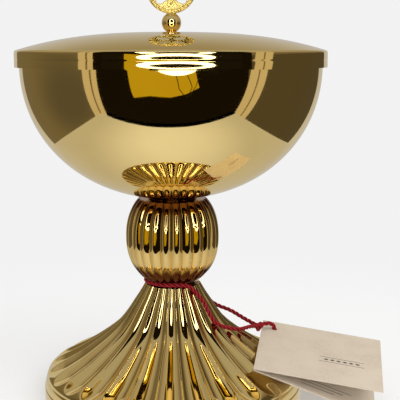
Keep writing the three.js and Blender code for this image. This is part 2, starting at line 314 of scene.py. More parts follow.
def tube(path, radius, sides):
    """Vertices, faces and (round, along) coordinates of a closed round tube along a path of Vectors."""
    tangents = []
    for i in range(len(path)):
        tangents.append((path[min(i + 1, len(path) - 1)] - path[max(i - 1, 0)]).normalized())
    side = tangents[0].orthogonal().normalized()
    points = []
    coordinates = []
    along = 0.0
    for i, (centre, tangent) in enumerate(zip(path, tangents)):
        side = (side - tangent * side.dot(tangent)).normalized()
        up = tangent.cross(side)
        if i:
            along += (centre - path[i - 1]).length
        for k in range(sides):
            angle = 2 * math.pi * k / sides
            points.append(centre + radius * (math.cos(angle) * side + math.sin(angle) * up))
            coordinates.append((k / sides, along))
    faces = []
    for i in range(len(path) - 1):
        for k in range(sides):
            a = i * sides + k
            b = i * sides + (k + 1) % sides
            faces.append((a, b, b + sides, a + sides))
    faces.append(tuple(reversed(range(sides))))
    faces.append(tuple(range((len(path) - 1) * sides, len(path) * sides)))
    return points, faces, coordinates


def follow(path):
    """A frame (tangent, side, up) at each point of a path, turning as little as it can."""
    frames = []
    side = None
    for i in range(len(path)):
        tangent = (path[min(i + 1, len(path) - 1)] - path[max(i - 1, 0)]).normalized()
        if side is None:
            side = tangent.orthogonal().normalized()
        side = (side - tangent * side.dot(tangent)).normalized()
        frames.append((tangent, side, tangent.cross(side)))
    return frames


# ---------------------------------------------------------------- material helpers


class Nodes:
    """A new material with a Principled shader, and short ways to add nodes to it."""

    def __init__(self, name, **settings):
        self.material = bpy.data.materials.new(name)
        self.material.use_nodes = True
        self.tree = self.material.node_tree
        self.shader = self.tree.nodes["Principled BSDF"]
        for socket, value in settings.items():
            self.shader.inputs[socket.replace("_", " ")].default_value = value
        self.place = self.add("ShaderNodeTexCoord").outputs["Object"]

    def add(self, kind, **settings):
        node = self.tree.nodes.new(kind)
        for key, value in settings.items():
            setattr(node, key, value)
        return node

    def link(self, source, target):
        if isinstance(source, (int, float)):
            target.default_value = source
        else:
            self.tree.links.new(source, target)

    def math(self, operation, *values):
        node = self.add("ShaderNodeMath", operation=operation)
        for socket, value in zip(node.inputs, values):
            self.link(value, socket)
        return node.outputs[0]

    def scaled(self, vector, x, y, z):
        node = self.add("ShaderNodeVectorMath", operation="MULTIPLY")
        self.tree.links.new(vector, node.inputs[0])
        node.inputs[1].default_value = (x, y, z)
        return node.outputs[0]

    def noise(self, vector, scale, detail=2.0, roughness=0.5):
        node = self.add("ShaderNodeTexNoise")
        self.tree.links.new(vector, node.inputs["Vector"])
        node.inputs["Scale"].default_value = scale
        node.inputs["Detail"].default_value = detail
        node.inputs["Roughness"].default_value = roughness
        return node.outputs["Fac"]

    def ramp(self, value, *stops):
        node = self.add("ShaderNodeValToRGB")
        ramp = node.color_ramp
        while len(ramp.elements) < len(stops):
            ramp.elements.new(0.5)
        for element, (position, colour) in zip(ramp.elements, stops):
            element.position = position
            element.color = (*colour, 1.0)
        self.tree.links.new(value, node.inputs["Fac"])
        return node.outputs["Color"]

    def spread(self, value, low, high, start=0.0, end=1.0):
        node = self.add("ShaderNodeMapRange")
        self.tree.links.new(value, node.inputs["Value"])
        node.inputs["From Min"].default_value = start
        node.inputs["From Max"].default_value = end
        node.inputs["To Min"].default_value = low
        node.inputs["To Max"].default_value = high
        return node.outputs["Result"]

    def turned_place(self, radial, vertical, around):
        """Coordinates that vary along a turned surface's profile and hardly round it."""
        parts = self.add("ShaderNodeSeparateXYZ")
        self.tree.links.new(self.place, parts.inputs[0])
        x, y, z = parts.outputs
        squares = self.math("ADD", self.math("MULTIPLY", x, x), self.math("MULTIPLY", y, y))
        radius = self.math("SQRT", squares)
        angle = self.math("ARCTAN2", y, x)
        joined = self.add("ShaderNodeCombineXYZ")
        self.link(self.math("MULTIPLY", radius, radial), joined.inputs[0])
        self.link(self.math("MULTIPLY", z, vertical), joined.inputs[1])
        self.link(self.math("MULTIPLY", self.math("SINE", angle), around), joined.inputs[2])
        return joined.outputs[0]

    def lobed_height(self, lobes, swing):
        """Height, less swing on the crest of each lobe round Z."""
        parts = self.add("ShaderNodeSeparateXYZ")
        self.tree.links.new(self.place, parts.inputs[0])
        x, y, z = parts.outputs
        around = self.math("MULTIPLY", self.math("ARCTAN2", y, x), lobes / 2)
        crest = self.math("ABSOLUTE", self.math("SINE", around))
        return self.math("SUBTRACT", z, self.math("MULTIPLY", crest, swing))

    def shaded(self, colour, shade):
        node = self.add("ShaderNodeMix", data_type="RGBA", blend_type="MULTIPLY")
        node.inputs["Factor"].default_value = 1.0
        self.tree.links.new(colour, node.inputs["A"])
        self.tree.links.new(shade, node.inputs["B"])
        return node.outputs["Result"]

    def colour(self, source):
        self.tree.links.new(source, self.shader.inputs["Base Color"])

    def roughness(self, source):
        self.tree.links.new(source, self.shader.inputs["Roughness"])

    def bump(self, *layers):
        """Layers of (height, distance in metres, strength), each laid on the one before."""
        normal = None
        for height, distance, strength in layers:
            node = self.add("ShaderNodeBump")
            node.inputs["Distance"].default_value = distance
            node.inputs["Strength"].default_value = strength
            self.tree.links.new(height, node.inputs["Height"])
            if normal:
                self.tree.links.new(normal, node.inputs["Normal"])
            normal = node.outputs["Normal"]
        self.tree.links.new(normal, self.shader.inputs["Normal"])


# ---------------------------------------------------------------- materials


def polished_gold(name="polished_gold", waviness=0.00002, tint=(1.0, 0.77, 0.34), painted_shade=False):
    """Mirror-polished plate: faint turning lines, a little waviness and a few duller patches.

    With painted shade, the plate is painted browner down by the neck and up under the cup, in points along
    the lobes, standing in for dark reflections and shade there.
    """
    m = Nodes(name, Metallic=1.0)
    lines = m.noise(m.turned_place(2200.0, 2200.0, 0.4), 1.0, 2.0)
    patches = m.noise(m.place, 28.0, 3.0)
    waves = m.noise(m.place, 42.0, 1.0)
    paler = tuple(min(1.0, c * 1.02) for c in tint)
    deeper = tuple(c * 0.95 for c in tint)
    plate = m.ramp(patches, (0.3, deeper), (0.7, paler))
    if painted_shade:
        # Painted shade: browner near the neck and under the cup, in points along the lobes, for dark
        # reflections and shade
        low = m.spread(m.lobed_height(KNOP_LOBES, 0.003), 0.0, 1.0, *NECK_PAINTED_SHADE_HEIGHTS)
        high = m.spread(m.lobed_height(KNOP_LOBES, -0.004), 1.0, 0.0, *CUP_PAINTED_SHADE_HEIGHTS)
        plate = m.shaded(plate, m.ramp(low, (0.0, NECK_PAINTED_SHADE), (1.0, (1.0, 1.0, 1.0))))
        plate = m.shaded(plate, m.ramp(high, (0.0, CUP_PAINTED_SHADE), (0.8, (1.0, 1.0, 1.0))))
    m.colour(plate)
    m.roughness(m.math("ADD", m.spread(patches, 0.02, 0.05, 0.3, 0.7), m.spread(lines, 0.0, 0.03, 0.4, 0.7)))
    m.bump((waves, waviness, 0.35), (lines, 0.0000006, 0.5))
    return m.material


def cast_gold():
    """Bright cast plate with a fine engraved grain."""
    m = Nodes("cast_gold", Metallic=1.0)
    grain = m.noise(m.place, 1500.0, 4.0, 0.65)
    hammer = m.noise(m.place, 420.0, 2.0)
    m.colour(m.ramp(grain, (0.3, (0.92, 0.66, 0.15)), (0.62, (1.0, 0.85, 0.33))))
    m.roughness(m.spread(hammer, 0.14, 0.3, 0.3, 0.7))
    m.bump((hammer, 0.0001, 0.3), (grain, 0.00004, 0.3))
    return m.material


def turned_metal(name, deep, pale, roughness):
    """Plain turned metal with fine lathe marks and a few stains."""
    m = Nodes(name, Metallic=1.0)
    marks = m.noise(m.turned_place(2600.0, 2600.0, 0.6), 1.0, 3.0)
    stains = m.noise(m.place, 180.0, 4.0, 0.6)
    m.colour(m.ramp(stains, (0.3, deep), (0.65, pale)))
    m.roughness(m.spread(marks, roughness, roughness + 0.2, 0.35, 0.7))
    m.bump((marks, 0.00002, 0.5))
    return m.material


def red_thread():
    """Satin thread: fine yarns wound along each strand, with paler worn hairs, and painted shade in the
    grooves between strands.
    """
    m = Nodes("red_thread", Roughness=0.5, Specular_IOR_Level=0.2)
    round_and_along = m.add("ShaderNodeUVMap", uv_map="strand").outputs[0]
    parts = m.add("ShaderNodeSeparateXYZ")
    m.link(round_and_along, parts.inputs[0])
    wound = m.math("MULTIPLY", parts.outputs[1], 900.0)
    twist = m.math("ADD", m.math("MULTIPLY", parts.outputs[0], 7.0), wound)
    yarns = m.math("ABSOLUTE", m.math("SINE", m.math("MULTIPLY", twist, math.pi)))
    fuzz = m.noise(m.place, 2600.0, 3.0, 0.6)
    mixed = m.math("ADD", m.math("MULTIPLY", yarns, 0.55), m.math("MULTIPLY", fuzz, 0.6))
    dark, red, worn = (0.07, 0.001, 0.003), (0.27, 0.004, 0.010), (0.50, 0.02, 0.03)
    yarn = m.ramp(mixed, (0.25, dark), (0.6, red), (0.95, worn))
    # Painted shade: the thread is painted darker near the cord's middle, in the grooves between strands
    crown = m.add("ShaderNodeSeparateXYZ")
    m.link(m.add("ShaderNodeUVMap", uv_map="crown").outputs[0], crown.inputs[0])
    m.colour(m.shaded(yarn, m.ramp(crown.outputs[0], (0.62, (0.1, 0.08, 0.08)), (0.97, (1.0, 1.0, 1.0)))))
    m.roughness(m.spread(fuzz, 0.45, 0.75, 0.3, 0.7))
    m.bump((yarns, 0.00012, 0.7), (fuzz, 0.00006, 0.6))
    return m.material


def card_stock():
    """Uncoated cream card: fibres, faint mottling and a soft tooth."""
    m = Nodes("card_stock", Roughness=0.85, Specular_IOR_Level=0.25)
    fibres = m.noise(m.scaled(m.place, 1.0, 0.35, 1.0), 1400.0, 5.0, 0.7)
    mottling = m.noise(m.place, 60.0, 3.0)
    mixed = m.math("ADD", m.math("MULTIPLY", fibres, 0.55), m.math("MULTIPLY", mottling, 0.45))
    aged, cream, pale = (0.46, 0.385, 0.30), (0.56, 0.475, 0.375), (0.60, 0.52, 0.42)
    m.colour(m.ramp(mixed, (0.3, aged), (0.5, cream), (0.7, pale)))
    m.roughness(m.spread(fibres, 0.78, 0.95, 0.3, 0.7))
    m.bump((fibres, 0.00004, 0.5), (mottling, 0.0002, 0.2))
    return m.material


def printing_ink():
    """Dark grey ink that sinks unevenly into the card."""
    m = Nodes("printing_ink", Roughness=0.7)
    bite = m.noise(m.place, 3000.0, 3.0, 0.6)
    m.colour(m.ramp(bite, (0.35, (0.035, 0.03, 0.03)), (0.7, (0.1, 0.09, 0.085))))
    m.roughness(m.spread(bite, 0.6, 0.85, 0.3, 0.7))
    m.bump((bite, 0.00003, 0.4))
    return m.material


def glow(name, colour, strength=1.0):
    """A stage card's plain light."""
    material = bpy.data.materials.new(name)
    material.use_nodes = True
    nodes = material.node_tree.nodes
    nodes.clear()
    emission = nodes.new("ShaderNodeEmission")
    emission.inputs["Color"].default_value = (*colour, 1.0)
    emission.inputs["Strength"].default_value = strength
    output = nodes.new("ShaderNodeOutputMaterial")
    material.node_tree.links.new(emission.outputs[0], output.inputs["Surface"])
    return material


# ---------------------------------------------------------------- stage


def only_seen_by(piece, *rays):
    for ray in ("camera", "diffuse", "glossy", "transmission", "volume_scatter", "shadow"):
        setattr(piece, "visible_" + ray, ray in rays)


def card(name, corners, material):
    """A flat stage card that shows only in reflections."""
    mesh = bpy.data.meshes.new(name)
    mesh.from_pydata(corners, [], [tuple(range(len(corners)))])
    mesh.materials.append(material)
    piece = object_from(name, mesh)
    only_seen_by(piece, "glossy")
    return piece


def wall_x(name, x, y, z, material):
    return card(name, [(x, y[0], z[0]), (x, y[1], z[0]), (x, y[1], z[1]), (x, y[0], z[1])], material)


def wall_y(name, y, x, z, material):
    return card(name, [(x[0], y, z[0]), (x[1], y, z[0]), (x[1], y, z[1]), (x[0], y, z[1])], material)


def level(name, z, x, y, material):
    return card(name, [(x[0], y[0], z), (x[1], y[0], z), (x[1], y[1], z), (x[0], y[1], z)], material)


def mixed_glow(name, near_colour, far_colour, near, far, measure):
    """Light that goes from one colour to another; measure(tree, place) gives the value that it follows."""
    material = glow(name, (1, 1, 1))
    tree = material.node_tree
    place = tree.nodes.new("ShaderNodeTexCoord")
    spread = tree.nodes.new("ShaderNodeMapRange")
    spread.interpolation_type = "SMOOTHSTEP"
    spread.inputs["From Min"].default_value = near
    spread.inputs["From Max"].default_value = far
    mix = tree.nodes.new("ShaderNodeMix")
    mix.data_type = "RGBA"
    mix.inputs["A"].default_value = (*near_colour, 1.0)
    mix.inputs["B"].default_value = (*far_colour, 1.0)
    tree.links.new(measure(tree, place.outputs["Object"]), spread.inputs["Value"])
    tree.links.new(spread.outputs["Result"], mix.inputs["Factor"])
    tree.links.new(mix.outputs["Result"], tree.nodes["Emission"].inputs["Color"])
    return material


def distance_from(centre):
    def measure(tree, place):
        node = tree.nodes.new("ShaderNodeVectorMath")
        node.operation = "DISTANCE"
        node.inputs[1].default_value = centre
        tree.links.new(place, node.inputs[0])
        return node.outputs["Value"]

    return measure


def height(tree, place):
    node = tree.nodes.new("ShaderNodeSeparateXYZ")
    tree.links.new(place, node.inputs[0])
    return node.outputs["Z"]


def strip_x(name, x, edges, material):
    """An upright strip on a side wall: two (y, z) points at its foot and two at its head."""
    return card(name, [(x, y, z) for y, z in edges], material)


def tent():
    """The light tent and its open front, as cards that only reflections show."""
    depth = (TENT_FRONT, TENT_BACK)
    width = (TENT_LEFT, TENT_RIGHT)
    whole = (0.0, TENT_TOP)
    from_front = distance_from((0.0, -0.16, 0.0))
    floor_light = mixed_glow("floor_light", (0.80, 0.78, 0.76), (0.52, 0.50, 0.46), 0.02, 0.24, from_front)
    level("tent_floor", -0.0002, width, depth, floor_light)
    dusk = distance_from((-0.262, -0.1, 0.1))
    left_light = mixed_glow("left_wall_light", (0.10, 0.085, 0.06), (0.17, 0.14, 0.085), 0.04, 0.2, dusk)
    low_part = (0.0, TENT_BRIGHTER)
    high_part = (TENT_BRIGHTER, TENT_TOP)
    wall_x("tent_left", TENT_LEFT, depth, low_part, left_light)
    side_depth = (-0.2, TENT_BACK)
    wall_x("tent_right", TENT_RIGHT, side_depth, low_part, glow("right_wall_light", (0.08, 0.065, 0.04)))
    upper_light = mixed_glow("upper_wall_light", (0.15, 0.12, 0.08), (0.36, 0.32, 0.26), 0.2, 0.33, height)
    wall_x("tent_left_high", TENT_LEFT, depth, high_part, upper_light)
    wall_x("tent_right_high", TENT_RIGHT, side_depth, high_part, upper_light)
    back_light = mixed_glow("back_wall_light", (0.54, 0.52, 0.49), (0.32, 0.27, 0.17), 0.2, 0.42, height)
    wall_y("tent_back", TENT_BACK, width, whole, back_light)
    level("tent_ceiling", TENT_TOP, width, depth, glow("ceiling_light", (0.40, 0.38, 0.34)))
    flap = glow("flap_light", (0.55, 0.47, 0.33))
    fold = glow("fold_light", (0.16, 0.11, 0.05))
    wall_y("flap_left_front", TENT_FRONT, (TENT_LEFT, OPENING_LEFT), whole, flap)
    inside = TENT_LEFT + 0.001
    strip_x("fold_left", inside, [(-0.215, 0.0), (-0.208, 0.0), (-0.205, 0.42), (-0.215, 0.42)], fold)
    strip_x("flap_left_side", inside, [(-0.208, 0.0), (-0.176, 0.0), (-0.17, 0.42), (-0.205, 0.42)], flap)
    inside = TENT_RIGHT - 0.001
    strip_x("flap_right_front", inside, [(-0.222, 0.0), (-0.186, 0.0), (-0.112, 0.42), (-0.146, 0.42)], flap)
    strip_x("fold_right", inside, [(-0.186, 0.0), (-0.181, 0.0), (-0.106, 0.42), (-0.112, 0.42)], fold)
    strip_x("flap_right_side", inside, [(-0.181, 0.0), (-0.156, 0.0), (-0.072, 0.42), (-0.106, 0.42)], flap)


def ring_card(name, depth, outer, inner, material):
    """An upright oval ring; outer and inner are (x, z, half width, half height)."""
    steps = 64
    points = []
    for x, z, across, up in (outer, inner):
        for angle in even_angles(steps):
            points.append((x + across * math.cos(angle), depth, z + up * math.sin(angle)))
    faces = [(i, (i + 1) % steps, (i + 1) % steps + steps, i + steps) for i in range(steps)]
    mesh = bpy.data.meshes.new(name)
    mesh.from_pydata(points, [], faces)
    mesh.materials.append(material)
    lamp = object_from(name, mesh)
    only_seen_by(lamp, "glossy")


def room():
    """What shows through the tent's open front: a ring lamp, and warm wood crossed by cables."""
    white = glow("ring_lamp_light", (1.0, 0.98, 0.94), 4.0)
    wood = glow("wood_light", (0.5, 0.34, 0.012))
    dim = glow("dim_room_light", (0.008, 0.0055, 0.002))
    wall_y("dim_room", ROOM_DEPTH - 0.014, (-1.0, 1.0), (-0.4, 1.2), dim)
    card("wood", [(x, ROOM_DEPTH - 0.012, z) for x, z in reversed(WOOD)], wood)
    dark = glow("cable_light", (0.03, 0.02, 0.004))
    for number, line in enumerate(CABLES):
        for i, ((x, z), (u, w)) in enumerate(zip(line, line[1:])):
            across = Vector((w - z, 0.0, x - u)).normalized() * CABLE_RADIUS
            ends = [Vector((x, ROOM_DEPTH - 0.01, z)), Vector((u, ROOM_DEPTH - 0.01, w))]
            corners = [ends[0] - across, ends[1] - across, ends[1] + across, ends[0] + across]
            card(f"cable_{number}_{i}", corners, dark)
    ring_card("ring_lamp", ROOM_DEPTH - 0.008, RING, RING_INSIDE, white)
    shelf = glow("dark_light", (0.01, 0.008, 0.004))
    wall_y("dark_shelf", ROOM_DEPTH - 0.006, (-0.6, 0.7), SHELF, shelf)
    card("wood_left", [(x, ROOM_DEPTH - 0.004, z) for x, z in reversed(WOOD_LEFT)], wood)
    ring_card("ring_lamp_low", ROOM_DEPTH - 0.002, LOW_RING, LOW_RING_INSIDE, white)


def studio():
    """A plain pale floor that runs into a pale backdrop, and soft light from above."""
    sweep = arc((2.0, 1.0), (1.0, 1.0), -90, 0, 8)
    profile = [(0.0, 0.0), (0.5, 0.0), (2.0, 0.0), *sweep, (3.0, 3.0), (0.0, 3.0)]
    points, faces = turn(profile, even_angles(64))
    mesh = bpy.data.meshes.new("studio_cove")
    mesh.from_pydata(points, [], faces)
    mesh.shade_smooth()
    mesh.materials.append(cove_paint())
    cove = object_from("studio_cove", mesh)
    only_seen_by(cove, "camera", "diffuse")
    world = bpy.data.worlds.new("studio_world")
    world.use_nodes = True
    world.node_tree.nodes["Background"].inputs["Color"].default_value = (0.6, 0.6, 0.6, 1.0)
    world.cycles_visibility.glossy = False
    bpy.context.scene.world = world
    for name, place, size, power in SOFT_BOXES:
        soft_box(name, place, size, power)


def cove_paint():
    """Pale matt paint near the object that turns into an even pale glow farther off."""
    material = mixed_glow("cove_paint", (1, 1, 1), (1, 1, 1), -0.1, 0.4, distance_from((0, 0, 0)))
    tree = material.node_tree
    pale = 0.89
    tree.nodes["Emission"].inputs["Strength"].default_value = pale
    paint = tree.nodes.new("ShaderNodeBsdfDiffuse")
    paint.inputs["Color"].default_value = (0.88, 0.88, 0.88, 1.0)
    mix = tree.nodes.new("ShaderNodeMixShader")
    tree.links.new(tree.nodes["Map Range"].outputs["Result"], mix.inputs["Fac"])
    tree.links.new(paint.outputs[0], mix.inputs[1])
    tree.links.new(tree.nodes["Emission"].outputs[0], mix.inputs[2])
    tree.links.new(mix.outputs[0], tree.nodes["Material Output"].inputs["Surface"])
    return material


def soft_box(name, place, size, power):
    light = bpy.data.lights.new(name, "AREA")
    light.shape = "SQUARE"
    light.size = size
    light.energy = power
    lamp = object_from(name, light)
    lamp.location = place
    lamp.rotation_euler = (-Vector(place)).to_track_quat("-Z", "Y").to_euler()
    lamp.visible_glossy = False
    lamp.visible_camera = False


def camera():
    data = bpy.data.cameras.new("camera")
    data.lens = CAMERA_LENS
    data.sensor_width = 36.0
    eye = object_from("camera", data)
    eye.location = CAMERA_PLACE
    eye.rotation_euler = (math.radians(90 - CAMERA_PITCH), 0.0, 0.0)
    bpy.context.scene.camera = eye


# ---------------------------------------------------------------- cord and knots


def with_coordinates(piece, name, coordinates):
    """Stores a pair of values for each vertex as a UV map."""
    layer = piece.data.uv_layers.new(name=name)
    for loop in piece.data.loops:
        layer.data[loop.index].uv = coordinates[loop.vertex_index]
    return piece


def twisted(name, path, strand_radius, offset, pitch, material):
    """Strands wound round a path, as one mesh.

    Its UV maps are strand (round and along the strand) and crown (how far out from the path, 0 to 1).
    """
    frames = follow(path)
    along = [0.0]
    for a, b in zip(path, path[1:]):
        along.append(along[-1] + (b - a).length)
    points, faces, coordinates, crowns = [], [], [], []
    sides = 12
    for strand in range(CORD_STRANDS):
        line = []
        for centre, (_, side, up), length in zip(path, frames, along):
            angle = 2 * math.pi * (strand / CORD_STRANDS + length / pitch)
            line.append(centre + offset * (math.cos(angle) * side + math.sin(angle) * up))
        more, sheets, places = tube(line, strand_radius, sides)
        faces += [tuple(len(points) + i for i in face) for face in sheets]
        for index, point in enumerate(more):
            out = (point - path[index // sides]).length
            crowns.append((out / (offset + strand_radius), 0.0))
        points += more
        coordinates += places
    piece = with_coordinates(skin(name, points, faces, material, 60), "strand", coordinates)
    return with_coordinates(piece, "crown", crowns)


def red_cord(thread):
    path = spline(CORD_ROUTE, 12)
    strand = CORD_DIAMETER * STRAND_SHARE
    piece = twisted("red_cord", path, strand, CORD_DIAMETER / 2 - strand, CORD_PITCH, thread)
    length = sum((b - a).length for a, b in zip(path, path[1:]))
    return piece, path, length


def knot(name, centre, size, thread):
    """An overhand knot pulled small: one strand bundle that crosses itself three times."""
    path = []
    steps = 72
    for i in range(steps + 1):
        t = 2 * math.pi * i / steps
        x = math.sin(t) + 1.7 * math.sin(2 * t)
        y = math.cos(t) - 1.7 * math.cos(2 * t)
        z = -1.25 * math.sin(3 * t)
        path.append(Vector(centre) + size * Vector((x, z, y)))
    return twisted(name, path, size * 0.47, size * 0.42, CORD_PITCH * 0.7, thread)


# ---------------------------------------------------------------- foot


def base_band(gold):
    """The plain upright band with softened edges."""
    low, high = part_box("base_ring")
    outer = high.x
    inner = outer - 0.0046
    edge = 0.0007
    outline = [
        (inner, low.z),
        *arc((outer - edge, low.z + edge), (edge, edge), -90, 0, 5),
        *arc((outer - edge, high.z - edge), (edge, edge), 0, 90, 5),
        (inner, high.z),
    ]
    return turned("base_band", outline, gold, 256, 50)


def flare_profile():
    """Points, outward normals and lengths along the foot's ridges, from the shoulder to the neck."""
    points = spline(FLARE, 26)
    normals = []
    for i in range(len(points)):
        along = points[min(i + 1, len(points) - 1)] - points[max(i - 1, 0)]
        normals.append(Vector((along.y, -along.x)).normalized())
    lengths = [0.0]
    for a, b in zip(points, points[1:]):
        lengths.append(lengths[-1] + (b - a).length)
    return points, normals, lengths


def flute_inset(radius, distance, phase):
    """How far a flute sinks below the ridges: radius of the foot there, distance above the scoop's end."""
    if distance <= 0:
        return 0.0
    opening = 1 - max(0.0, 1 - distance / SCOOP_LENGTH) ** 2
    width = 2 * math.pi * radius / FLUTES
    full = width * FLUTE_DEPTH_TO_WIDTH
    reach = FLUTE_SHARE * math.sqrt(opening)
    across = (2 * phase - 1) / reach
    depth = full * opening * (1 - across * across)
    rounding = RIDGE_ROUNDING * width / 0.0135
    return 0.5 * (depth + math.sqrt(depth * depth + rounding * rounding))


def fluted_foot(gold):
    """The flared foot: concave flutes with narrow ridges, each ending in a rounded scoop."""
    points, normals, lengths = flare_profile()
    end = next(s for p, s in zip(points, lengths) if p.x <= FLUTE_END_RADIUS)
    top = points[-1].y
    ceiling = top - FOOT_PLATE
    outline = [tuple(p) for p in points]
    inner = []
    for p, n in reversed(list(zip(points, normals))):
        if p.y < ceiling - 0.001:
            sunk = 2 * math.pi * p.x / FLUTES * FLUTE_DEPTH_TO_WIDTH + FOOT_WALL
            inner.append((p.x - n.x * sunk, max(p.y - n.y * sunk, points[0].y)))
    inner = inner[::4]
    rim = (points[0].x - 0.004, points[0].y)
    inner = [p for p in inner if p[0] < rim[0] - 0.001 and p[1] > points[0].y + 0.0005]
    full = outline + [(ROD_HOLE, top), (ROD_HOLE, ceiling), (inner[0][0] - 0.001, ceiling), *inner, rim]

    def shape(index, angle):
        if index >= len(points):
            return full[index]
        phase = (angle / (2 * math.pi) * FLUTES - 0.5) % 1.0
        inset = flute_inset(points[index].x, lengths[index] - end, phase)
        return points[index].x - normals[index].x * inset, points[index].y - normals[index].y * inset

    angles = [angle + math.pi / FLUTES for angle in ridged_angles(FLUTES, 22, 0.55)]
    vertices, faces = turn(full, angles, shape)
    return skin("fluted_foot", vertices, faces, gold, 50)


# ---------------------------------------------------------------- stem


def neck(gold):
    """The short waisted neck between foot and knop."""
    low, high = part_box("neck_ring")
    waist = []
    for i in range(13):
        share = i / 12
        waist.append((high.x - NECK_WAIST * math.sin(math.pi * share), lerp(low.z, high.z, share)))
    return turned("neck", [(ROD_HOLE, low.z), *waist, (ROD_HOLE, high.z)], gold, 192)


def knop_radius(height):
    share = abs(height - KNOP_CENTRE) / KNOP_HALF_HEIGHT
    return KNOP_RADIUS * (1 - share**KNOP_FULLNESS) ** (1 / KNOP_FULLNESS)


def lobed_knop(gold):
    """The hollow knop: convex lobes with sharp valleys between them."""
    low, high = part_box("knop")
    steps = 72
    heights = [lerp(low.z, high.z, (1 - math.cos(math.pi * i / steps)) / 2) for i in range(steps + 1)]
    floor, ceiling = low.z + KNOP_PLATE, high.z - KNOP_PLATE
    inside = []
    for i in range(9):
        height = lerp(ceiling, floor, i / 8)
        inside.append((knop_radius(height) - LOBE_DEPTH - KNOP_WALL, height))
    outline = [(knop_radius(z), z) for z in heights]
    outline += [(BOSS_HOLE, high.z), (BOSS_HOLE, ceiling), *inside, (ROD_HOLE, floor), (ROD_HOLE, low.z)]

    def shape(index, angle):
        radius, height = outline[index]
        if index > steps:
            return radius, height
        phase = (angle / (2 * math.pi) * KNOP_LOBES) % 1.0
        valley = abs(math.sin(math.pi * phase))
        return radius - LOBE_DEPTH * (1 - valley), height

    vertices, faces = turn(outline, ridged_angles(KNOP_LOBES, 16, 0.5), shape)
    return skin("lobed_knop", vertices, faces, gold, 32)


def collar(gold):
    """The thin rounded washer between knop and cup."""
    low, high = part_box("knop_collar")
    half = (high.z - low.z) / 2
    rim = arc((high.x - half, low.z + half), (half, half), -90, 90, 10)
    return turned("collar", [(BOSS_HOLE, low.z), *rim, (BOSS_HOLE, high.z)], gold, 192)


# ---------------------------------------------------------------- cup, lid and finial


def bowl(radius, depth, widest, start, end, steps):
    """A bowl's profile, fuller than an ellipse; angles in degrees, -90 on the axis and 0 at the widest."""
    points = []
    for i in range(steps + 1):
        angle = math.radians(lerp(start, end, i / steps))
        across = max(0.0, math.cos(angle)) ** (2 / CUP_FULLNESS)
        down = max(0.0, -math.sin(angle)) ** (2 / CUP_FULLNESS)
        points.append((0.0 if across < 1e-9 else radius * across, widest - depth * down))
    return points


def cup(gold):
    """The wide thin-walled cup: a full bowl below a short upright lip."""
    low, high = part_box("cup_shell")
    radius = high.x
    widest = high.z - CUP_LIP
    depth = widest - low.z
    edge = CUP_WALL / 2
    outline = [
        *bowl(radius, depth, widest, -90, 0, 120),
        *arc((radius - edge, high.z - edge), (edge, edge), 0, 180, 10),
        *bowl(radius - CUP_WALL, depth - CUP_WALL, widest, 0, -90, 90),
    ]
    return turned("cup", outline, gold, 320)


def bead(gold):
    low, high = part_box("cup_bead")
    middle = (low.z + high.z) / 2
    half = (high.z - low.z) / 2
    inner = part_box("cup_shell")[1].x + 0.00005
    rim = arc((inner, middle), (high.x - inner, half), -90, 90, 14)
    return turned("rim_bead", rim, gold, 256)


def dome_height(apex, radius):
    return apex - LID_FALL * (radius / LID_REACH) ** LID_DOME_POWER


def skirt_band(radius, bottom, top):
    """One of the skirt's two faintly bowed bands."""
    rise = math.sin(math.radians(SKIRT_LEAN_IN)) + math.sin(math.radians(SKIRT_LEAN_OUT))
    bend = (top - bottom) / rise
    middle = bottom + bend * math.sin(math.radians(SKIRT_LEAN_OUT))
    return arc((radius - bend, middle), (bend, bend), -SKIRT_LEAN_OUT, SKIRT_LEAN_IN, 10)


def lid_outline():
    """The lid in section: low dome, tight corner, and a skirt of two faintly bowed bands."""
    low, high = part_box("lid_shell")
    apex, radius = high.z, high.x
    start, end = math.radians(SKIRT_LEAN_IN), math.radians(LID_CORNER_END)
    shoulder = radius - 0.00008 - LID_CORNER * (math.cos(start) - math.cos(end))
    skirt_top = dome_height(apex, shoulder) - LID_CORNER * (math.sin(end) - math.sin(start))
    upper = skirt_band(radius, SKIRT_CREASE, skirt_top)
    turn_centre = (upper[-1][0] - LID_CORNER * math.cos(start), upper[-1][1] - LID_CORNER * math.sin(start))
    corner = arc(turn_centre, (LID_CORNER, LID_CORNER), SKIRT_LEAN_IN, LID_CORNER_END, 16)
    inner_wall = radius - LID_WALL
    steps = 90
    under = []
    for i in range(steps + 1):
        reach = lerp(PEG_HOLE, shoulder - LID_WALL, i / steps)
        under.append((reach, dome_height(apex, reach) - LID_WALL))
    over = []
    for i in range(1, steps + 1):
        reach = lerp(corner[-1][0], PEG_HOLE, i / steps)
        over.append((reach, dome_height(apex, reach)))
    skirt = [(inner_wall, skirt_top), (inner_wall, low.z), *skirt_band(radius, low.z, SKIRT_CREASE)]
    return [*under, *skirt, *upper[1:], *corner[1:], *over]


def lid(gold):
    return turned("lid", lid_outline(), gold, 320, 25)


def spool(gold):
    """The thin waisted collar under the ball."""
    low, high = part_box("finial_spool")
    middle = (low.z + high.z) / 2
    waist = arc((high.x + 0.0001, middle), (0.0004, (high.z - low.z) / 2 - 0.00005), 270, 90, 10)
    outline = [(PEG_HOLE, low.z), (high.x, low.z), *waist, (high.x, high.z), (PEG_HOLE, high.z)]
    return turned("finial_foot", outline, gold, 96)


def ball(gold):
    low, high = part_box("finial_ball")
    centre = (low.z + high.z) / 2
    tilt = math.degrees(math.asin((high.z - low.z) / 2 / high.x))
    outline = [
        (PEG_HOLE, low.z),
        *arc((0.0, centre), (high.x, high.x), -tilt, tilt, 48),
        (PEG_HOLE, high.z),
    ]
    return turned("ball", outline, gold, 128)


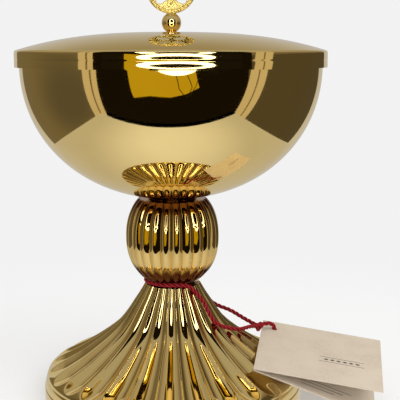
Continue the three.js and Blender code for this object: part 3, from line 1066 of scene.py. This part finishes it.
def medal_curve(name, outlines, thickness, bevel):
    """A flat plate with a bevelled edge: the first outline, less the others."""
    curve = bpy.data.curves.new(name, "CURVE")
    curve.dimensions = "2D"
    curve.fill_mode = "BOTH"
    curve.extrude = thickness / 2 - bevel
    curve.bevel_depth = bevel
    curve.bevel_resolution = 3
    for outline in outlines:
        path = curve.splines.new("POLY")
        path.points.add(len(outline) - 1)
        path.use_cyclic_u = True
        for point, (x, y) in zip(path.points, outline):
            point.co = (x, y, 0.0, 1.0)
    return curve


def oval(centre, radii, turned_by, steps):
    points = []
    for angle in even_angles(steps):
        x, y = radii[0] * math.cos(angle), radii[1] * math.sin(angle)
        c, s = math.cos(turned_by), math.sin(turned_by)
        points.append((centre[0] + x * c - y * s, centre[1] + x * s + y * c))
    return points


def medallion(gold):
    """The round medallion: a pierced cross inside a raised beaded rim, on its peg."""
    low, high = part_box("cross_medallion")
    centre = high.z - MEDAL_RADIUS
    bevel = 0.0003
    outlines = [oval((0.0, 0.0), (MEDAL_RADIUS - bevel, MEDAL_RADIUS - bevel), 0.0, 120)]
    for quarter in range(4):
        angle = math.pi / 4 + quarter * math.pi / 2
        place = (0.007 * math.cos(angle), 0.007 * math.sin(angle))
        outlines.append(oval(place, (0.0043 + bevel, 0.0027 + bevel), angle, 48))
    curve = medal_curve("medallion", outlines, MEDAL_THICKNESS - 0.0006, bevel)
    flat = object_from("medallion_plate", curve)
    bpy.context.view_layer.update()
    plate = bpy.data.meshes.new_from_object(flat.evaluated_get(bpy.context.evaluated_depsgraph_get()))
    bpy.data.objects.remove(flat)
    plate.transform(Matrix.Translation((0.0, 0.0, centre)) @ Matrix.Rotation(math.pi / 2, 4, "X"))
    plate.materials.clear()
    plate.materials.append(gold)
    piece = object_from("medallion", plate)
    parts = [piece]
    face = MEDAL_THICKNESS / 2 - 0.0003
    for side in (-1, 1):
        for radius, width in ((0.0133, 0.0004), (0.0119, 0.00025)):
            parts.append(medal_ring(radius, width, side * face, centre, gold))
        for angle in even_angles(44):
            parts.append(medal_bead(0.0126, angle, side * face, centre, gold))
        for quarter in range(4):
            parts += medal_arm(quarter * math.pi / 2, side * face, centre, gold)
        parts.append(medal_bead(0.0, 0.0, side * face, centre, gold, 0.0011))
    peg_top = centre - MEDAL_RADIUS
    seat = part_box("finial_ball")[1].z + 0.00002
    peg = [
        (0.0, low.z),
        (0.0014, low.z),
        (0.0014, seat),
        (0.0030, seat),
        (0.0026, peg_top + 0.0003),
        (0.0012, peg_top + 0.0009),
        (0.0, peg_top + 0.0009),
    ]
    parts.append(turned("medallion_peg", peg, gold, 48))
    return join(piece, parts)


def upright_on(points, depth, centre):
    turn_up = Matrix.Rotation(math.pi / 2, 3, "X")
    return [turn_up @ Vector(p) + Vector((0.0, depth, centre)) for p in points]


def medal_ring(radius, width, depth, centre, gold):
    points, faces = turn(arc((radius, 0.0), (width, 0.0003), 0, 337.5, 15), even_angles(120))
    return skin("medal_ring", upright_on(points, depth, centre), faces, gold)


def medal_bead(radius, angle, depth, centre, gold, size=0.0004):
    points, faces = turn(arc((0.0, 0.0), (size, size * 0.75), -90, 90, 8), even_angles(12))
    shift = Vector((radius * math.cos(angle), radius * math.sin(angle), 0.0))
    return skin("medal_bead", upright_on([Vector(p) + shift for p in points], depth, centre), faces, gold)


def medal_arm(angle, depth, centre, gold):
    """Beads that grow outwards along one arm of the cross."""
    sizes = ((0.003, 0.0004), (0.0055, 0.0006), (0.0085, 0.0008))
    return [medal_bead(radius, angle, depth, centre, gold, size) for radius, size in sizes]


def join(piece, parts):
    """Makes one object of several."""
    with bpy.context.temp_override(active_object=piece, selected_editable_objects=parts):
        bpy.ops.object.join()
    return piece


# ---------------------------------------------------------------- tag


def tag_frame(fold=0.0, drop=0.0):
    """From a leaf's own axes (across, up the leaf, out of its face) to the row frame."""
    turn_by = Euler([math.radians(a) for a in TAG_TURN], "XYZ").to_matrix().to_4x4()
    leaf = Matrix.Translation((0.0, 0.0, drop)) @ Matrix.Rotation(math.radians(fold), 4, "Y")
    return Matrix.Translation(TAG_CORNER) @ turn_by @ leaf


def card_leaf(name, hole_radius, place, material):
    """One leaf of the folded card: a thin flat sheet with a punched hole."""
    columns, rows = 72, 58
    inset = 0.0003
    half = TAG_THICKNESS / 2
    points = []
    for side in (-1, 1):
        for j in range(rows + 1):
            for i in range(columns + 1):
                x = lerp(inset, TAG_WIDTH, i / columns)
                y = lerp(0.0, TAG_HEIGHT, j / rows)
                points.append((x, y, side * half))
    stride = columns + 1
    sheet = stride * (rows + 1)
    faces = []
    for j in range(rows):
        for i in range(columns):
            a = j * stride + i
            quad = (a, a + 1, a + 1 + stride, a + stride)
            faces.append(tuple(reversed(quad)))
            faces.append(tuple(v + sheet for v in quad))
    edge = [j for j in range(columns)]
    edge += [columns + j * stride for j in range(rows)]
    edge += [rows * stride + columns - j for j in range(columns)]
    edge += [(rows - j) * stride for j in range(rows)]
    for a, b in zip(edge, edge[1:] + edge[:1]):
        faces.append((a, b, b + sheet, a + sheet))
    leaf = skin(name, points, faces, material, 30)
    punch(leaf, hole_radius)
    leaf.data.transform(place)
    leaf.data.shade_smooth()
    leaf.data.set_sharp_from_angle(angle=math.radians(30))
    return leaf


def punch(leaf, radius):
    """Cuts the cord's hole through a leaf."""
    points, faces = turn([(0.0, -0.002), (radius, -0.002), (radius, 0.002), (0.0, 0.002)], even_angles(32))
    points = [Vector(p) + Vector((*TAG_HOLE, 0.0)) for p in points]
    tool = skin("punch", points, faces, leaf.data.materials[0])
    boolean = leaf.modifiers.new("hole", "BOOLEAN")
    boolean.operation = "DIFFERENCE"
    boolean.solver = "EXACT"
    boolean.object = tool
    bpy.context.view_layer.update()
    cut = bpy.data.meshes.new_from_object(leaf.evaluated_get(bpy.context.evaluated_depsgraph_get()))
    leaf.modifiers.clear()
    leaf.data = cut
    bpy.data.objects.remove(tool)


def print_strip(x, y, width, height):
    """The corners of a printed bar in the leaf's own axes."""
    return [(x, y), (x + width, y), (x + width, y + height), (x, y + height)]


def lozenge(x, y, size):
    return [(x - size, y), (x, y - 0.6 * size), (x + size, y), (x, y + 0.6 * size)]


def printed(name, shapes, place, ink):
    """Printed shapes as films of ink on the leaf's upper face."""
    points, faces = [], []
    for shape in shapes:
        count = len(shape)
        start = len(points)
        for lift in (0.0, INK_FILM):
            for x, y in shape:
                z = TAG_THICKNESS / 2 + lift - INK_BITE
                points.append(place @ Vector((x, y, z)))
        faces.append(tuple(start + i for i in reversed(range(count))))
        faces.append(tuple(start + count + i for i in range(count)))
        for i in range(count):
            j = (i + 1) % count
            faces.append((start + i, start + j, start + count + j, start + count + i))
    return skin(name, points, faces, ink)


# ---------------------------------------------------------------- the object

thread = red_thread()
gold = polished_gold()
stem_gold = polished_gold("stem_gold", tint=(0.88, 0.64, 0.24), painted_shade=True)
stock = card_stock()
ink = printing_ink()
steel = turned_metal("turned_steel", (0.36, 0.36, 0.37), (0.62, 0.62, 0.63), 0.28)
brass = turned_metal("turned_brass", (0.58, 0.40, 0.16), (0.82, 0.62, 0.28), 0.25)

camera()

cord, cord_path, cord_length = red_cord(thread)
join_knot = knot("join_knot", CORD_KNOT, JOIN_KNOT_SIZE, thread)
end_knot = knot("end_knot", TAIL_KNOT, END_KNOT_SIZE, thread)
for piece, nodes in (
    (cord, ("cord_loop", "cord_tail")),
    (join_knot, ("cord_knot",)),
    (end_knot, ("tail_knot",)),
):
    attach(piece, "tag")
    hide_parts(*nodes)

studio()
tent()
room()

for make, node, plate in (
    (base_band, "base_ring", gold),
    (fluted_foot, "foot_shell", gold),
    (neck, "neck_ring", stem_gold),
    (lobed_knop, "knop", stem_gold),
    (collar, "knop_collar", stem_gold),
    (cup, "cup_shell", gold),
    (bead, "cup_bead", gold),
):
    piece = make(plate)
    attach(piece, "vessel")
    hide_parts(node)

for make, node in ((lid, "lid_shell"), (spool, "finial_spool"), (ball, "finial_ball")):
    piece = make(gold)
    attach(piece, "lid")
    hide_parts(node)

medal = medallion(cast_gold())
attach(medal, "lid")
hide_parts("cross_medallion")

cover_place = tag_frame()
cover = card_leaf("tag_front_leaf", COVER_HOLE_RADIUS, cover_place, stock)
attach(cover, "tag")
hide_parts("tag_cover")
emblem = [print_strip(0.036, 0.0265, 0.026, 0.00035), print_strip(0.036, 0.0215, 0.026, 0.00035)]
emblem += [lozenge(0.040 + 0.0036 * i, 0.0242, 0.0016) for i in range(6)]
front_print = printed("tag_ornament", emblem, cover_place, ink)
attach(front_print, "tag")

back_place = tag_frame(TAG_FOLD, -TAG_FOLD_DROP)
back = card_leaf("tag_lower_leaf", BACK_HOLE_RADIUS, back_place, stock)
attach(back, "lower_leaf")
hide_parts("tag_back")
rules = [print_strip(0.028, 0.012 - 0.003 * i, 0.03 - 0.005 * i, 0.0005) for i in range(3)]
back_print = printed("tag_rules", rules, back_place, ink)
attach(back_print, "lower_leaf")

for metal, nodes in (
    (steel, ("tie_rod", "rod_nut", "rod_washer")),
    (brass, ("cup_boss", "finial_washer", "finial_nut")),
):
    for node in nodes:
        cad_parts[node].data.materials.clear()
        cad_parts[node].data.materials.append(metal)

bpy.context.scene.view_settings.view_transform = "Standard"
